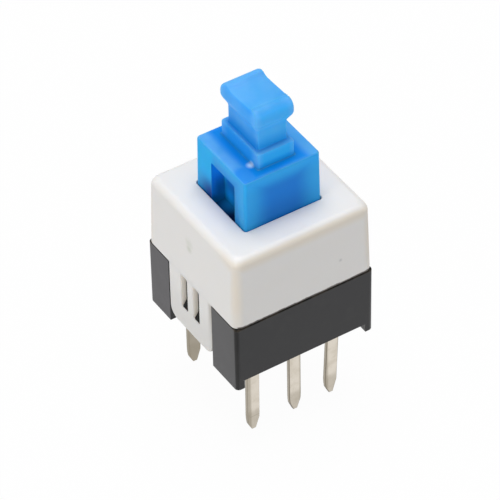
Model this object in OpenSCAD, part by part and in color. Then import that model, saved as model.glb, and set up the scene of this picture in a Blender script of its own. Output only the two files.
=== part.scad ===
// Self-locking push-button switch for circuit boards: a square housing in two snapped halves,
// a plunger with a head for a push-on cap, two change-over contacts and a heart-cam latch.
// Z = 0 is the face of the board, and the origin is the middle of the six pins.
// The rows of pins run along X, and the cover's snap tabs are on the two X sides.

/* [Base] */
// Width of the square base
body_w = 7; // [6.9:0.1:7.6]
// Height of the seam between base and cover above the board
seam_z = 3.52; // [3.3:0.02:3.9]
// Clear height under the base between its feet
standoff = 0.45; // [0.3:0.05:0.6]
// Width of each foot wall
foot_w = 0.4; // [0.3:0.05:0.5]
// Thickness of the base's floor
floor_t = 0.6; // [0.4:0.05:0.8]
// Radius of the base's upright corners
base_corner_r = 0.2; // [0.1:0.05:0.4]
// Height of the collar that stands up inside the cover
collar_h = 0.58; // [0.3:0.02:0.8]
// Radius of the post inside the return spring
post_r = 0.5; // [0.35:0.05:0.55]
// Height of the post inside the return spring
post_h = 0.9; // [0.5:0.1:1.5]

/* [Cover] */
// Set-back of the cover's lower edge from the base's outside
cover_inset = 0; // [0:0.005:0.06]
// Draft of the cover's sides, per side over their height
cover_draft = 0.08; // [0:0.01:0.15]
// Thickness of the cover's side walls
cover_wall = 0.6; // [0.5:0.01:0.7]
// Thickness of the cover's top
top_t = 0.8; // [0.6:0.1:1.2]
// Radius of the cover's upright corners
cover_corner_r = 0.3; // [0.2:0.05:0.5]
// Radius of the cover's top edge
cover_edge_r = 0.3; // [0.1:0.05:0.4]
// Clearance round the plunger in the cover's opening
opening_gap = 0.05; // [0.02:0.01:0.1]

/* [Snap tabs] */
// Width of each snap tab
tab_w = 3.36; // [3:0.02:3.6]
// How far the tabs sit off the middle, towards the rear row
tab_shift = 0.13; // [-0.2:0.01:0.2]
// Thickness of each snap tab
tab_t = 0.3; // [0.2:0.05:0.35]
// Height of a tab's lower end above the board
tab_z = 0.5; // [0.3:0.05:0.9]
// Radius of a tab's lower corners
tab_corner_r = 0.5; // [0.2:0.05:0.7]
// Depth of the base's recess behind a tab
notch_d = 0.4; // [0.38:0.01:0.45]
// Width of each of a tab's two windows
window_w = 0.42; // [0.35:0.01:0.6]
// Width of the rib between the two windows
window_rib = 0.52; // [0.4:0.02:0.8]
// Height of the windows' lower edge above the board
window_z = 1.6; // [1.3:0.05:1.7]
// Height of the windows
window_h = 1.86; // [1.4:0.02:1.9]
// Height of the snap wedge in each window
catch_h = 0.6; // [0.4:0.05:0.8]

/* [Plunger] */
// Full travel of the plunger
travel = 2; // [1.6:0.1:2.4]
// Travel at which the plunger locks down
latch_travel = 1.5; // [1.4:0.05:1.6]
// Width of the square shaft at the cover
shaft_w = 3.83; // [3.6:0.01:3.9]
// Draft of the shaft's sides, per side over its visible height
shaft_draft = 0.035; // [0:0.005:0.08]
// Height of the shaft's shoulder above the cover
shaft_rise = 2.57; // [2.2:0.01:3]
// Radius of the shaft's upright edges
shaft_corner_r = 0.14; // [0.05:0.01:0.3]
// Radius of the shoulder's outer edge
shoulder_r = 0.14; // [0.05:0.01:0.25]
// Width of the recess in the shaft's side
recess_w = 1.8; // [1.4:0.1:2.6]
// How far the recess sits off the middle, towards the front row
recess_shift = 0.2; // [-0.3:0.05:0.3]
// Depth of the recess in the shaft's side
recess_d = 0.65; // [0.4:0.05:0.9]
// Height of shaft left above the recess
lintel_h = 0.65; // [0.4:0.05:1]
// Width of the guide ribs beside the cam face
guide_w = 0.8; // [0.6:0.05:0.9]

/* [Cap head] */
// Size of the plinth on the shoulder: across X, along Y and height
plinth = [1.84, 2.88, 0.79];
// Size of the neck above the plinth: across X, along Y and height
neck = [1.48, 2.3, 0.9];
// Size of the head above the neck: across X, along Y and height
head = [1.93, 2.8, 1.24];
// Depth of the shallow dish in the head's top
dish_d = 0.19; // [0.02:0.01:0.25]

/* [Terminals] */
// Distance between neighbouring pins of a row
pitch = 2; // [1.9:0.05:2.05]
// Distance from the middle of each row of pins to the base's side
row_inset = 1; // [0.95:0.01:1.1]
// Thickness of the terminals' sheet metal
blade_t = 0.2; // [0.15:0.01:0.3]
// Width of each pin
pin_w = 0.6; // [0.45:0.01:0.7]
// Length of the pins below the board's face
pin_len = 3.72; // [2.5:0.02:4.5]
// Length of the rounded taper at a pin's tip
tip_len = 0.85; // [0.4:0.05:1]
// Width of a pin at its very tip
tip_w = 0.16; // [0.1:0.01:0.4]
// Width of a terminal's blade inside the base
blade_w = 0.8; // [0.7:0.05:0.85]

/* [Contacts] */
// Thickness of the moving contacts' spring sheet
clip_t = 0.12; // [0.08:0.01:0.15]
// Width of each contact finger
finger_w = 0.6; // [0.4:0.05:0.65]
// Distance between neighbouring contact fingers
finger_pitch = 1.2; // [1.15:0.05:1.25]
// Radius of a finger's contact bow
bow_r = 0.4; // [0.3:0.01:0.45]
// Height of the plate that joins the fingers
plate_h = 0.85; // [0.5:0.05:0.9]
// Distance from the bows' middle in to the plate
plate_set = 0.175; // [0.15:0.005:0.25]
// Travel at which the upper throw opens
break_travel = 0.5; // [0.45:0.05:0.7]
// Travel at which the lower throw closes
make_travel = 1.2; // [1:0.05:1.3]

/* [Latch] */
// Diameter of the latch wire
wire_d = 0.3; // [0.2:0.01:0.34]
// Radius of the latch wire's bends, to the wire's centre
bend_r = 0.22; // [0.2:0.01:0.26]
// Height of the wire's pivot above the floor
pivot_rise = 0.45; // [0.3:0.05:0.6]
// Sideways swing of the wire's follower over the full travel
swing_y = 0.8; // [0.7:0.02:0.9]
// Depth of the cam track's first lane
track_depth = 0.38; // [0.3:0.01:0.4]
// Step down from each lane of the track to the next
track_step = 0.06; // [0.03:0.01:0.08]
// Height of the follower at rest above the plunger's lower end
cam_foot = 0.7; // [0.5:0.05:1]
// Height of the plunger's body above the follower at full travel
cam_head = 0.36; // [0.3:0.02:0.8]

/* [Return spring] */
// Diameter of the spring's wire
spring_wire_d = 0.2; // [0.14:0.01:0.24]
// Outside diameter of the spring
spring_d = 1.74; // [1.64:0.01:1.8]
// Number of working turns
spring_turns = 7; // [5:1:9]

/* [Hidden] */

// Running and assembly clearances
wall_gap = 0.1;       // between the side terminals' blades and the base's walls
slide_gap = 0.1;      // between the plunger's body and the housing's walls
blade_gap = 0.075;    // between the plunger's body and the terminals
contact_gap = 0.03;   // between a contact finger and the blades, which the real one closes
stop_gap = 0.03;      // under the cover, where the plunger's body stops
end_gap = 0.25;       // under the plunger's body at full travel
fit_gap = 0.035;      // between collar and cover
snap_gap = 0.02;      // round the snap wedges in the tabs' windows
tab_gap = 0.03;       // at each side of a tab in its notch
tab_inset = 0.01;     // from the cover's lower edge in to a tab's face
slot_gap = 0.02;      // round sheet metal in its slots
pivot_gap = 0.03;     // round the latch wire in its bearing
follower_gap = 0.06;  // each side of the follower in the cam track
tip_gap = 0.05;       // between the follower's end and the track's floor
pocket_gap = 0.2;     // at each end of a contact clip in its pocket
wire_gap = 0.05;      // between the latch wire and the base's wall
face_gap = 0.1;       // between the latch wire and the cam face
bore_gap = 0.08;      // round the return spring in its bore
seat_gap = 0.02;      // at each end of the return spring
cut = 0.1;            // how far a cut runs past the face that it opens

// Levels and half sizes of the housing
half = body_w / 2;
cover_half = half - cover_inset;
row_gap = body_w - 2 * row_inset;
cavity_x = pitch + blade_w / 2 + wall_gap;
cavity_y = row_gap / 2 + blade_t / 2;
cover_in = cover_half - cover_wall;
collar_x = cover_in - fit_gap;
side_wall = half - cavity_x;
blade_face = row_gap / 2 - blade_t / 2;
floor_z = standoff + floor_t;
blade_top = seam_z + collar_h;
tab_out = cover_half - tab_inset;
notch_half = tab_w / 2 + tab_gap;
notch_x = half - notch_d;
window_y = (window_rib + window_w) / 2;
edge_break = 0.05;
arch_r = 0.12;

// Levels and half sizes of the plunger
body_z = floor_z + end_gap + travel;
body_top = body_z + cam_foot + travel + cam_head;
cover_under = body_top + stop_gap;
cover_top = cover_under + top_t;
shoulder_z = cover_top + shaft_rise;
plinth_z = shoulder_z + plinth[2];
neck_z = plinth_z + neck[2];
head_z = neck_z + head[2];
foot_r = 0.2;
soft_r = 0.11;
body_x = cavity_x - slide_gap;
body_y = blade_face - blade_gap;
shaft_half = shaft_w / 2;
opening_half = shaft_half + opening_gap;
recess_z = cover_top - lintel_h / 2;
spring_r = spring_d / 2;
bore_r = spring_r + bore_gap;
bore_top = body_top + slide_gap;

// The latch wire stands between the base's wall and the plunger's cam face
wire_x = cavity_x - wire_gap - wire_d / 2;
cam_face = wire_x - wire_d / 2 - face_gap;
follower_z = body_z + cam_foot;
follower_end = cam_face - track_depth + tip_gap;
pivot_z = floor_z + pivot_rise;
pivot_in = (side_wall - notch_d) * 0.75;
arm = follower_z - pivot_z;
swing_a = asin(swing_y / arm);
track_w = wire_d + 2 * follower_gap;

// The contact fingers' bows press on the blades at this level at rest
bow_z = body_z + bow_r * 1.125;
bow_y = blade_face - contact_gap - bow_r;
clip_in = bow_y - plate_set;
clip_half = finger_pitch + finger_w / 2;

corner_steps = 6;
smooth = 48;

// Rectangle with rounded corners, as points from the +X side round to the left
function rounded(a, b, r) = [
    for (c = [[1, 1], [-1, 1], [-1, -1], [1, -1]], i = [0 : corner_steps])
        let (start = c[1] > 0 ? (c[0] > 0 ? 0 : 90) : (c[0] < 0 ? 180 : 270),
             t = start + 90 * i / corner_steps)
        [c[0] * (a - r) + r * cos(t), c[1] * (b - r) + r * sin(t)]];

// A rounded rectangle at height z
function ring(a, b, r, z) = [for (p = rounded(a, b, r)) [p[0], p[1], z]];

// Upright outline with a flat foot and a rounded head, of half width w and height h
function arch(w, h, r) = concat([[-w, 0], [w, 0]], [
    for (side = [1, -1], i = [0 : corner_steps])
        let (t = (side > 0 ? 0 : 90) + 90 * i / corner_steps)
        [side * (w - r) + r * cos(t), h - r + r * sin(t)]]);

// Solid skinned over a stack of rings, closed by a point on the axis at height tip_z
module loft(rings, tip_z) {
    n = len(rings[0]);
    last = len(rings) - 1;
    tip = n * len(rings);
    points = concat([for (r = rings) each r], [[0, 0, tip_z]]);
    sides = [for (k = [0 : last - 1], i = [0 : n - 1])
        let (a = k * n + i, b = k * n + (i + 1) % n)
        each [[a, a + n, b + n], [a, b + n, b]]];
    top = [for (i = [0 : n - 1]) [last * n + i, tip, last * n + (i + 1) % n]];
    polyhedron(points, concat([[for (i = [0 : n - 1]) i]], sides, top));
}

// Prism with rounded upright edges, standing on z0
module rounded_block(a, b, r, z0, z1) {
    translate([0, 0, z0]) linear_extrude(z1 - z0) polygon(rounded(a, b, r));
}

// Box between two opposite corners
module span(low, high) {
    translate(low) cube(high - low);
}

// Runs its children on both sides of the plane across the given axis
module both(axis) {
    children();
    mirror(axis) children();
}

// ---- Base ----

module foot_cuts() {
    inner = half - foot_w;
    span([-inner, -half - cut, -cut], [inner, half + cut, standoff]);
}

// Recess that a tab lies in, and the snap wedges in its windows
module tab_notch() {
    span([notch_x, tab_shift - notch_half, -cut], [half + cut, tab_shift + notch_half, seam_z + cut]);
}

module snap_wedges() {
    low = window_z + snap_gap;
    high = low + catch_h;
    land = catch_h / 8;
    reach = tab_out - snap_gap - notch_x;
    profile = [[-cut, low], [reach, low], [reach, low + land], [0, high], [-cut, high]];
    wedge_w = window_w - 2 * snap_gap;
    for (y = [-window_y, window_y])
        translate([notch_x, tab_shift + y + wedge_w / 2, 0])
            rotate([90, 0, 0]) linear_extrude(wedge_w) polygon(profile);
}

module pin_slots() {
    for (x = [-pitch, 0, pitch], y = [-row_gap / 2, row_gap / 2])
        translate([x, y, standoff + floor_t / 2])
            cube([pin_w + 2 * slot_gap, blade_t + 2 * slot_gap, floor_t + 2 * cut], center = true);
}

module base() {
    lead = post_r / 5;
    color("#3f3f42") {
        difference() {
            union() {
                loft([
                    ring(half, half, base_corner_r, 0),
                    ring(half, half, base_corner_r, seam_z - edge_break),
                    ring(half - edge_break, half - edge_break, base_corner_r, seam_z)
                ], seam_z);
                rounded_block(collar_x, collar_x, base_corner_r, seam_z - cut, blade_top);
            }
            span([-cavity_x, -cavity_y, floor_z], [cavity_x, cavity_y, blade_top + cut]);
            foot_cuts();
            both([1, 0, 0]) tab_notch();
            pin_slots();
            translate([-cavity_x - pivot_in - pivot_gap, 0, pivot_z]) rotate([0, 90, 0])
                cylinder(r = wire_d / 2 + pivot_gap, h = pivot_in + pivot_gap + cut, $fn = smooth);
        }
        both([1, 0, 0]) snap_wedges();
        translate([0, 0, floor_z - cut]) cylinder(r = post_r, h = post_h + cut - lead, $fn = smooth);
        translate([0, 0, floor_z + post_h - lead])
            cylinder(r1 = post_r, r2 = post_r - lead, h = lead, $fn = smooth);
    }
}

// ---- Cover ----

function cover_rings() =
    let (r = cover_edge_r, z0 = cover_top - r, a0 = cover_half - cover_draft, steps = 6)
    concat(
        [ring(cover_half, cover_half, cover_corner_r, seam_z)],
        [for (i = [0 : steps])
            let (t = 90 * i / steps, a = a0 - r * (1 - cos(t)))
            ring(a, a, cover_corner_r * (1 + cos(t)) / 2, z0 + r * sin(t))]);

// Snap tab, skinned over slices: how far in each one lies, and how much narrower it is
module tab() {
    low = tab_z + tab_corner_r;
    soft = tab_t / 3;
    slice = soft / 10;
    hull() for (s = [[tab_t, 0], [soft, 0], [soft / 3, soft / 3], [0, soft]])
        translate([tab_out - s[0] - slice, tab_shift, 0]) {
            w = tab_w / 2 - s[1];
            span([0, -w, low], [slice, w, seam_z + tab_t - 3 * s[1]]);
            both([0, 1, 0]) translate([0, tab_w / 2 - tab_corner_r, low]) rotate([0, 90, 0])
                cylinder(r = tab_corner_r - s[1], h = slice, $fn = 32);
        }
}

module tab_windows() {
    for (y = [-window_y, window_y])
        translate([notch_x, tab_shift + y, window_z]) rotate([90, 0, 90])
            linear_extrude(half - notch_x + cut) polygon(arch(window_w / 2, window_h, arch_r));
}

module cover() {
    color("#dedddb") difference() {
        union() {
            loft(cover_rings(), cover_top);
            both([1, 0, 0]) tab();
        }
        span([-cover_in, -cover_in, seam_z - cut], [cover_in, cover_in, cover_under]);
        rounded_block(opening_half, opening_half, 0.1, cover_under - cut, cover_top + cut);
        both([1, 0, 0]) tab_windows();
    }
}

// ---- Plunger ----

// Shaft from inside the housing up to the shoulder, with a rolled edge
function shaft_rings() =
    let (s = shaft_half, sr = shoulder_r, c = shaft_corner_r)
    concat(
        [ring(s, s, c, body_top - cut), ring(s, s, c, cover_top)],
        [for (i = [0 : 4]) let (t = 22.5 * i, a = s - shaft_draft - sr * (1 - cos(t)))
            ring(a, a, c, shoulder_z - sr + sr * sin(t))]);

// Plinth, with a fillet at its foot, and the neck on it
function plinth_rings() =
    let (x = plinth[0] / 2, y = plinth[1] / 2, c = soft_r, b = soft_r / 2)
    concat(
        [for (i = [0 : 4]) let (t = 22.5 * i, o = foot_r * (1 - sin(t)))
            ring(x + o, y + o, c + o, shoulder_z + foot_r * (1 - cos(t)))],
        [for (i = [0 : 2]) let (t = 45 * i, o = b * (1 - cos(t)))
            ring(x - o, y - o, c, plinth_z - b + b * sin(t))],
        [for (i = [0 : 2]) let (t = 45 * i, o = b * (1 - sin(t)))
            ring(neck[0] / 2 + o, neck[1] / 2 + o, c, plinth_z + b * (1 - cos(t)))]);

// Head: it flares out of the neck, rolls over at its ends and has a dished top
function head_rings() =
    let (nx = neck[0] / 2, ny = neck[1] / 2, hx = head[0] / 2, hy = head[1] / 2,
         flare = head[2] * 0.475, roll = head[2] * 0.39, roll_z = neck_z + head[2] - roll,
         tx = hx - soft_r, ty = hy - roll)
    concat(
        [for (i = [0 : 5]) let (f = (1 - cos(36 * i)) / 2)
            ring(nx + (hx - nx) * f, ny + (hy - ny) * f, soft_r, neck_z + flare * i / 5)],
        [for (i = [0 : 5]) let (t = 18 * i, k = 1 - cos(t))
            ring(hx - soft_r * k, hy - roll * k, soft_r, roll_z + roll * sin(t))],
        [for (k = [0.8, 0.6, 0.4, 0.2])
            ring(tx * k, ty * k, soft_r * k, head_z - dish_d * (1 - k * k))]);

module stem() {
    loft(concat(shaft_rings(), plinth_rings(), head_rings()), head_z - dish_d);
}

// Body of the plunger inside the housing, set back on the latch side between two guide ribs
module plunger_body() {
    span([-cam_face, -body_y, body_z], [body_x, body_y, body_top]);
    both([0, 1, 0]) span([-body_x, body_y - guide_w, body_z], [-cam_face + cut, body_y, body_top]);
}

// One straight stretch of the cam track between two points of the cam face, round at its start
module lane(from, to, depth) {
    run = to - from;
    translate([-cam_face - cut, from[0], from[1]]) rotate([atan2(run[1], run[0]), 0, 0]) {
        translate([0, 0, -track_w / 2]) cube([depth + cut, norm(run), track_w]);
        rotate([0, 90, 0]) cylinder(r = track_w / 2, h = depth + cut, $fn = smooth);
    }
}

// Heart-shaped track: up the slanted side to the end of the press, back into the notch,
// up again on the other side and home. Each stretch is a step deeper than the one before.
module heart_track() {
    step = track_step;
    far = -0.94 * swing_y;
    home = [0, follower_z];
    entry = [0, body_z - cut];
    pressed = [swing_y, follower_z + travel - arm * (1 - cos(swing_a))];
    notch = [-swing_y / 16, follower_z + latch_travel];
    freed = [far, pressed[1]];
    falling = [far + notch[0] * -2.5, follower_z + 0.475 * travel];
    lane(entry, home, track_depth);
    lane(home, pressed, track_depth);
    lane(pressed, notch, track_depth + step);
    lane(notch, freed, track_depth + 2 * step);
    lane(freed, falling, track_depth + 3 * step);
    lane(falling, home, track_depth + 1.5 * step);
}

// Room for a contact clip: for its fingers to bend, and a slot that its plate is pushed up into
module clip_pocket() {
    inner = clip_in - slot_gap;
    finger_top = bow_z + bow_r + slot_gap;
    plate_top = finger_top - clip_t + plate_h;
    wide = clip_half + pocket_gap;
    span([-wide, inner, body_z - cut], [wide, body_y + cut, finger_top]);
    span([-wide, inner, bow_z], [wide, clip_in + clip_t + slot_gap, plate_top]);
}

module shaft_recess() {
    span([-shaft_half - cut, -recess_w / 2 - recess_shift, recess_z],
         [-shaft_half + recess_d, recess_w / 2 - recess_shift, shoulder_z - lintel_h]);
}

module plunger() {
    color("#2f86e6") difference() {
        union() {
            plunger_body();
            stem();
        }
        shaft_recess();
        heart_track();
        both([0, 1, 0]) clip_pocket();
        translate([0, 0, body_z - cut]) cylinder(r = bore_r, h = bore_top - body_z + cut, $fn = smooth);
    }
}

// ---- Return spring ----

// Closed end turns lie flat, and the working turns share the height between them
function spring_height(turn, turns, low, high) =
    let (closed = spring_wire_d + seat_gap / 5, t = min(max(turn - 1, 0), turns - 2),
         rise = high - low - 2 * closed)
    low + closed * min(turn, 1) + rise * t / (turns - 2) + closed * max(turn - turns + 1, 0);

module return_spring() {
    sides = 8;
    per_turn = 16;
    turns = spring_turns + 2;
    r = spring_wire_d / 2;
    mean_r = spring_r - r;
    low = floor_z + r + seat_gap;
    high = bore_top - r - seat_gap;
    rings = turns * per_turn + 1;
    points = [for (k = [0 : rings - 1], i = [0 : sides - 1])
        let (a = 360 * k / per_turn, t = 360 * i / sides, q = mean_r + r * cos(t))
        [q * cos(a), q * sin(a), spring_height(k / per_turn, turns, low, high) + r * sin(t)]];
    skin = [for (k = [0 : rings - 2], i = [0 : sides - 1])
        let (a = k * sides + i, b = k * sides + (i + 1) % sides)
        each [[a, b, b + sides], [a, b + sides, a + sides]]];
    start = [for (i = [sides - 1 : -1 : 0]) i];
    end = [for (i = [0 : sides - 1]) (rings - 1) * sides + i];
    color("#b9bcc2") polyhedron(points, concat([start], skin, [end]));
}

// ---- Latch wire ----

module elbow() {
    rotate_extrude(angle = 90, $fn = smooth) translate([bend_r, 0]) circle(d = wire_d, $fn = 32);
}

// The lower end turns out into the base's wall, the upper end turns in to the cam track
module latch_wire() {
    leg_low = pivot_z + bend_r;
    leg_high = follower_z - bend_r;
    outer = cavity_x + pivot_in;
    color("#c9ccd1") {
        translate([-wire_x, 0, leg_low]) cylinder(d = wire_d, h = leg_high - leg_low, $fn = smooth);
        translate([-wire_x - bend_r, 0, leg_low]) rotate([-90, 0, 0]) elbow();
        translate([-outer, 0, pivot_z]) rotate([0, 90, 0])
            cylinder(d = wire_d, h = outer - wire_x - bend_r, $fn = smooth);
        translate([-wire_x + bend_r, 0, leg_high]) rotate([90, 0, 0]) rotate([0, 0, 90]) elbow();
        translate([-wire_x + bend_r, 0, follower_z]) rotate([0, 90, 0])
            cylinder(d = wire_d, h = wire_x - bend_r - follower_end, $fn = smooth);
    }
}

// ---- Moving contacts ----

// Spring clip of the rear pole: a back plate in the plunger's slot and three bowed fingers
module contact_clip() {
    bend_z = bow_z + bow_r - clip_t;
    color("#c98d4b") {
        span([-clip_half, clip_in, bend_z], [clip_half, clip_in + clip_t, bend_z + plate_h]);
        for (x = [-finger_pitch, 0, finger_pitch]) translate([x - finger_w / 2, 0, 0]) {
            span([0, clip_in, bend_z], [finger_w, bow_y, bend_z + clip_t]);
            span([0, bow_y - bow_r / 5, bow_z - bow_r], [finger_w, bow_y, bow_z - bow_r + clip_t]);
            translate([0, bow_y, bow_z]) rotate([0, 90, 0]) difference() {
                cylinder(r = bow_r, h = finger_w, $fn = smooth);
                translate([0, 0, -cut]) cylinder(r = bow_r - clip_t, h = finger_w + 2 * cut, $fn = smooth);
                translate([-bow_r - cut, -bow_r - cut, -cut])
                    cube([2 * (bow_r + cut), bow_r + cut, finger_w + 2 * cut]);
            }
        }
    }
}

module moving_contact_front() { mirror([0, 1, 0]) contact_clip(); }
module moving_contact_rear() { contact_clip(); }

// ---- Terminals ----

// Right half of a pin's outline, from its rounded tip up to where it is full width
function pin_side() =
    let (tip = tip_w / 2)
    [for (i = [0 : 5]) let (t = 18 * i)
        [tip + (pin_w / 2 - tip) * sin(t), tip_len * (1 - cos(t)) - pin_len]];

// Flat terminal standing in XZ: a tapered pin, and the blade's outline above the floor
module terminal(x, row, blade) {
    side = pin_side();
    outline = concat(
        [[-pin_w / 2, floor_z]], [for (i = [len(side) - 1 : -1 : 0]) [-side[i][0], side[i][1]]],
        side, [[pin_w / 2, floor_z]],
        blade);
    color("#d3ccbd") translate([x, row * row_gap / 2 + blade_t / 2, 0])
        rotate([90, 0, 0]) linear_extrude(blade_t) polygon(outline);
}

// Half width of the common blade, and how far a side terminal's arm reaches towards it
common_half = (finger_w + finger_pitch / 4) / 2;
arm_reach = pitch - finger_pitch + common_half;

// Upper throw: a full-height blade with an arm at the top, towards the common terminal
module upper_terminal(row) {
    h = blade_w / 2;
    arm_z = bow_z - break_travel;
    terminal(-pitch, row, [[h, floor_z], [h, arm_z], [arm_reach, arm_z], [arm_reach, blade_top],
                           [-h, blade_top], [-h, floor_z]]);
}

module common_terminal(row) {
    h = common_half;
    terminal(0, row, [[h, floor_z], [h, blade_top], [-h, blade_top], [-h, floor_z]]);
}

// Lower throw: a low, wide blade that reaches towards the common terminal
module lower_terminal(row) {
    h = blade_w / 2;
    top = bow_z - make_travel;
    terminal(pitch, row, [[h, floor_z], [h, top], [-arm_reach, top], [-arm_reach, floor_z]]);
}

module terminal_front_left() { upper_terminal(-1); }
module terminal_front_common() { common_terminal(-1); }
module terminal_front_right() { lower_terminal(-1); }
module terminal_rear_left() { upper_terminal(1); }
module terminal_rear_common() { common_terminal(1); }
module terminal_rear_right() { lower_terminal(1); }

base();
cover();
plunger();
return_spring();
latch_wire();
moving_contact_front();
moving_contact_rear();
terminal_front_left();
terminal_front_common();
terminal_front_right();
terminal_rear_left();
terminal_rear_common();
terminal_rear_right();
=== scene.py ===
"""Looks of a latching push button switch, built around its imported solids."""

from __future__ import annotations

import logging
import math
from contextlib import contextmanager
from dataclasses import dataclass
from enum import Enum
from typing import Callable, Iterable, Iterator, Sequence

import bmesh
import bpy
from mathutils import Matrix, Vector

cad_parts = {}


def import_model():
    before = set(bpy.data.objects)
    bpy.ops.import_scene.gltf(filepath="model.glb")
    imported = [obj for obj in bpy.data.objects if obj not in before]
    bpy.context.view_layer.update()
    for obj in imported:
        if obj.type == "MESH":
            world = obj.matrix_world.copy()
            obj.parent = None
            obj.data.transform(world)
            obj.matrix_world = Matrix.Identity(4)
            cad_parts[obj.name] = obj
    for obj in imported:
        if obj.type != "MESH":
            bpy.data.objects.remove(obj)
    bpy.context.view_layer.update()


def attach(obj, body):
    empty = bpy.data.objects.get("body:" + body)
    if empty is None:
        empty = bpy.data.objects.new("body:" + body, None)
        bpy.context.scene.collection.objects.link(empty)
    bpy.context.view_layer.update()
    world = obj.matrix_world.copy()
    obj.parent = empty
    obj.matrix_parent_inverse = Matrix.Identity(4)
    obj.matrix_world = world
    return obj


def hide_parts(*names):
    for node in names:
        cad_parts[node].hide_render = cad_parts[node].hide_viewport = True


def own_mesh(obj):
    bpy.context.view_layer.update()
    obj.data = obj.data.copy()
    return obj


LOG = logging.getLogger("switch")
MM = 0.001
ALONG = 0.9  # a direction or normal with more than this share of an axis runs along it
MERGE = 0.0005  # points nearer than this are one, in millimetres
Piece = bpy.types.Object
Triple = tuple[float, float, float]
Span = tuple[float, float]  # where a mask is 0 and where it is 1, or its least and most value
Spans = tuple[Span, ...]  # the spans of the values that make up a mask
Spot = tuple[Triple, float]  # a middle and a radius, in millimetres


class Body(Enum):
    """The bodies that pieces ride on."""

    HOUSING = "housing"
    BUTTON = "button"


class Slot(Enum):
    """The material slots, whose values name the materials."""

    BLACK = "black_pbt"
    WHITE = "white_nylon"
    BLUE = "blue_pom"
    SPRING = "spring_steel"
    WIRE = "latch_steel"
    BRONZE = "contact_bronze"
    TIN = "tinned_brass"


# ---- Shader maths ----


@dataclass(frozen=True)
class Tone:
    """A colour laid over others, and how much of it shows where its mask is 1."""

    colour: Triple
    share: float = 1.0


@dataclass(frozen=True)
class Speckle:
    """A noise: about how many bumps a millimetre, its detail and its roughness."""

    scale: float
    detail: float = 2.0
    rough: float = 0.5


class Wire:
    """A socket in a material, with the operators that add Math nodes to it."""

    def __init__(self, graph: "Graph", socket: bpy.types.NodeSocket) -> None:
        """Keeps the graph and the socket that the value comes from."""
        self.graph = graph
        self.socket = socket

    def _math(self, operation: str, *values: "Wire | float") -> "Wire":
        """Adds one Math node with the given operation."""
        return self.graph.node(
            "ShaderNodeMath", {"operation": operation}, {i: v for i, v in enumerate(values)}
        )

    def __add__(self, other: "Wire | float") -> "Wire":
        """Sum."""
        return self._math("ADD", self, other)

    __radd__ = __add__

    def __sub__(self, other: "Wire | float") -> "Wire":
        """Difference."""
        return self._math("SUBTRACT", self, other)

    def __rsub__(self, other: "Wire | float") -> "Wire":
        """Difference with this one taken away."""
        return self._math("SUBTRACT", other, self)

    def __mul__(self, other: "Wire | float") -> "Wire":
        """Product."""
        return self._math("MULTIPLY", self, other)

    __rmul__ = __mul__

    def __abs__(self) -> "Wire":
        """Distance from zero."""
        return self._math("ABSOLUTE", self)

    def most(self, other: "Wire | float") -> "Wire":
        """The larger of two values."""
        return self._math("MAXIMUM", self, other)

    def least(self, other: "Wire | float") -> "Wire":
        """The smaller of two values."""
        return self._math("MINIMUM", self, other)

    def fade(self, low: float, high: float) -> "Wire":
        """Smooth step from 0 at low to 1 at high; the other way where low is the larger.

        Args:
            low: Value that gives 0.
            high: Value that gives 1.

        Returns:
            The step as a value from 0 to 1.
        """
        first, last, start, end = (low, high, 0.0, 1.0) if low < high else (high, low, 1.0, 0.0)
        return self.graph.node(
            "ShaderNodeMapRange",
            {"interpolation_type": "SMOOTHSTEP"},
            {"Value": self, "From Min": first, "From Max": last, "To Min": start, "To Max": end},
        )

    def lift(self, low: float, high: float) -> "Wire":
        """A mask from 0 to 1 as a value from low to high."""
        return self * (high - low) + low


def mask(spans: Spans, *values: Wire) -> Wire:
    """The product of several values' fades, each over its own span."""
    whole, *others = (value.fade(*span) for value, span in zip(values, spans, strict=True))
    for other in others:
        whole = whole * other
    return whole


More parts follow.
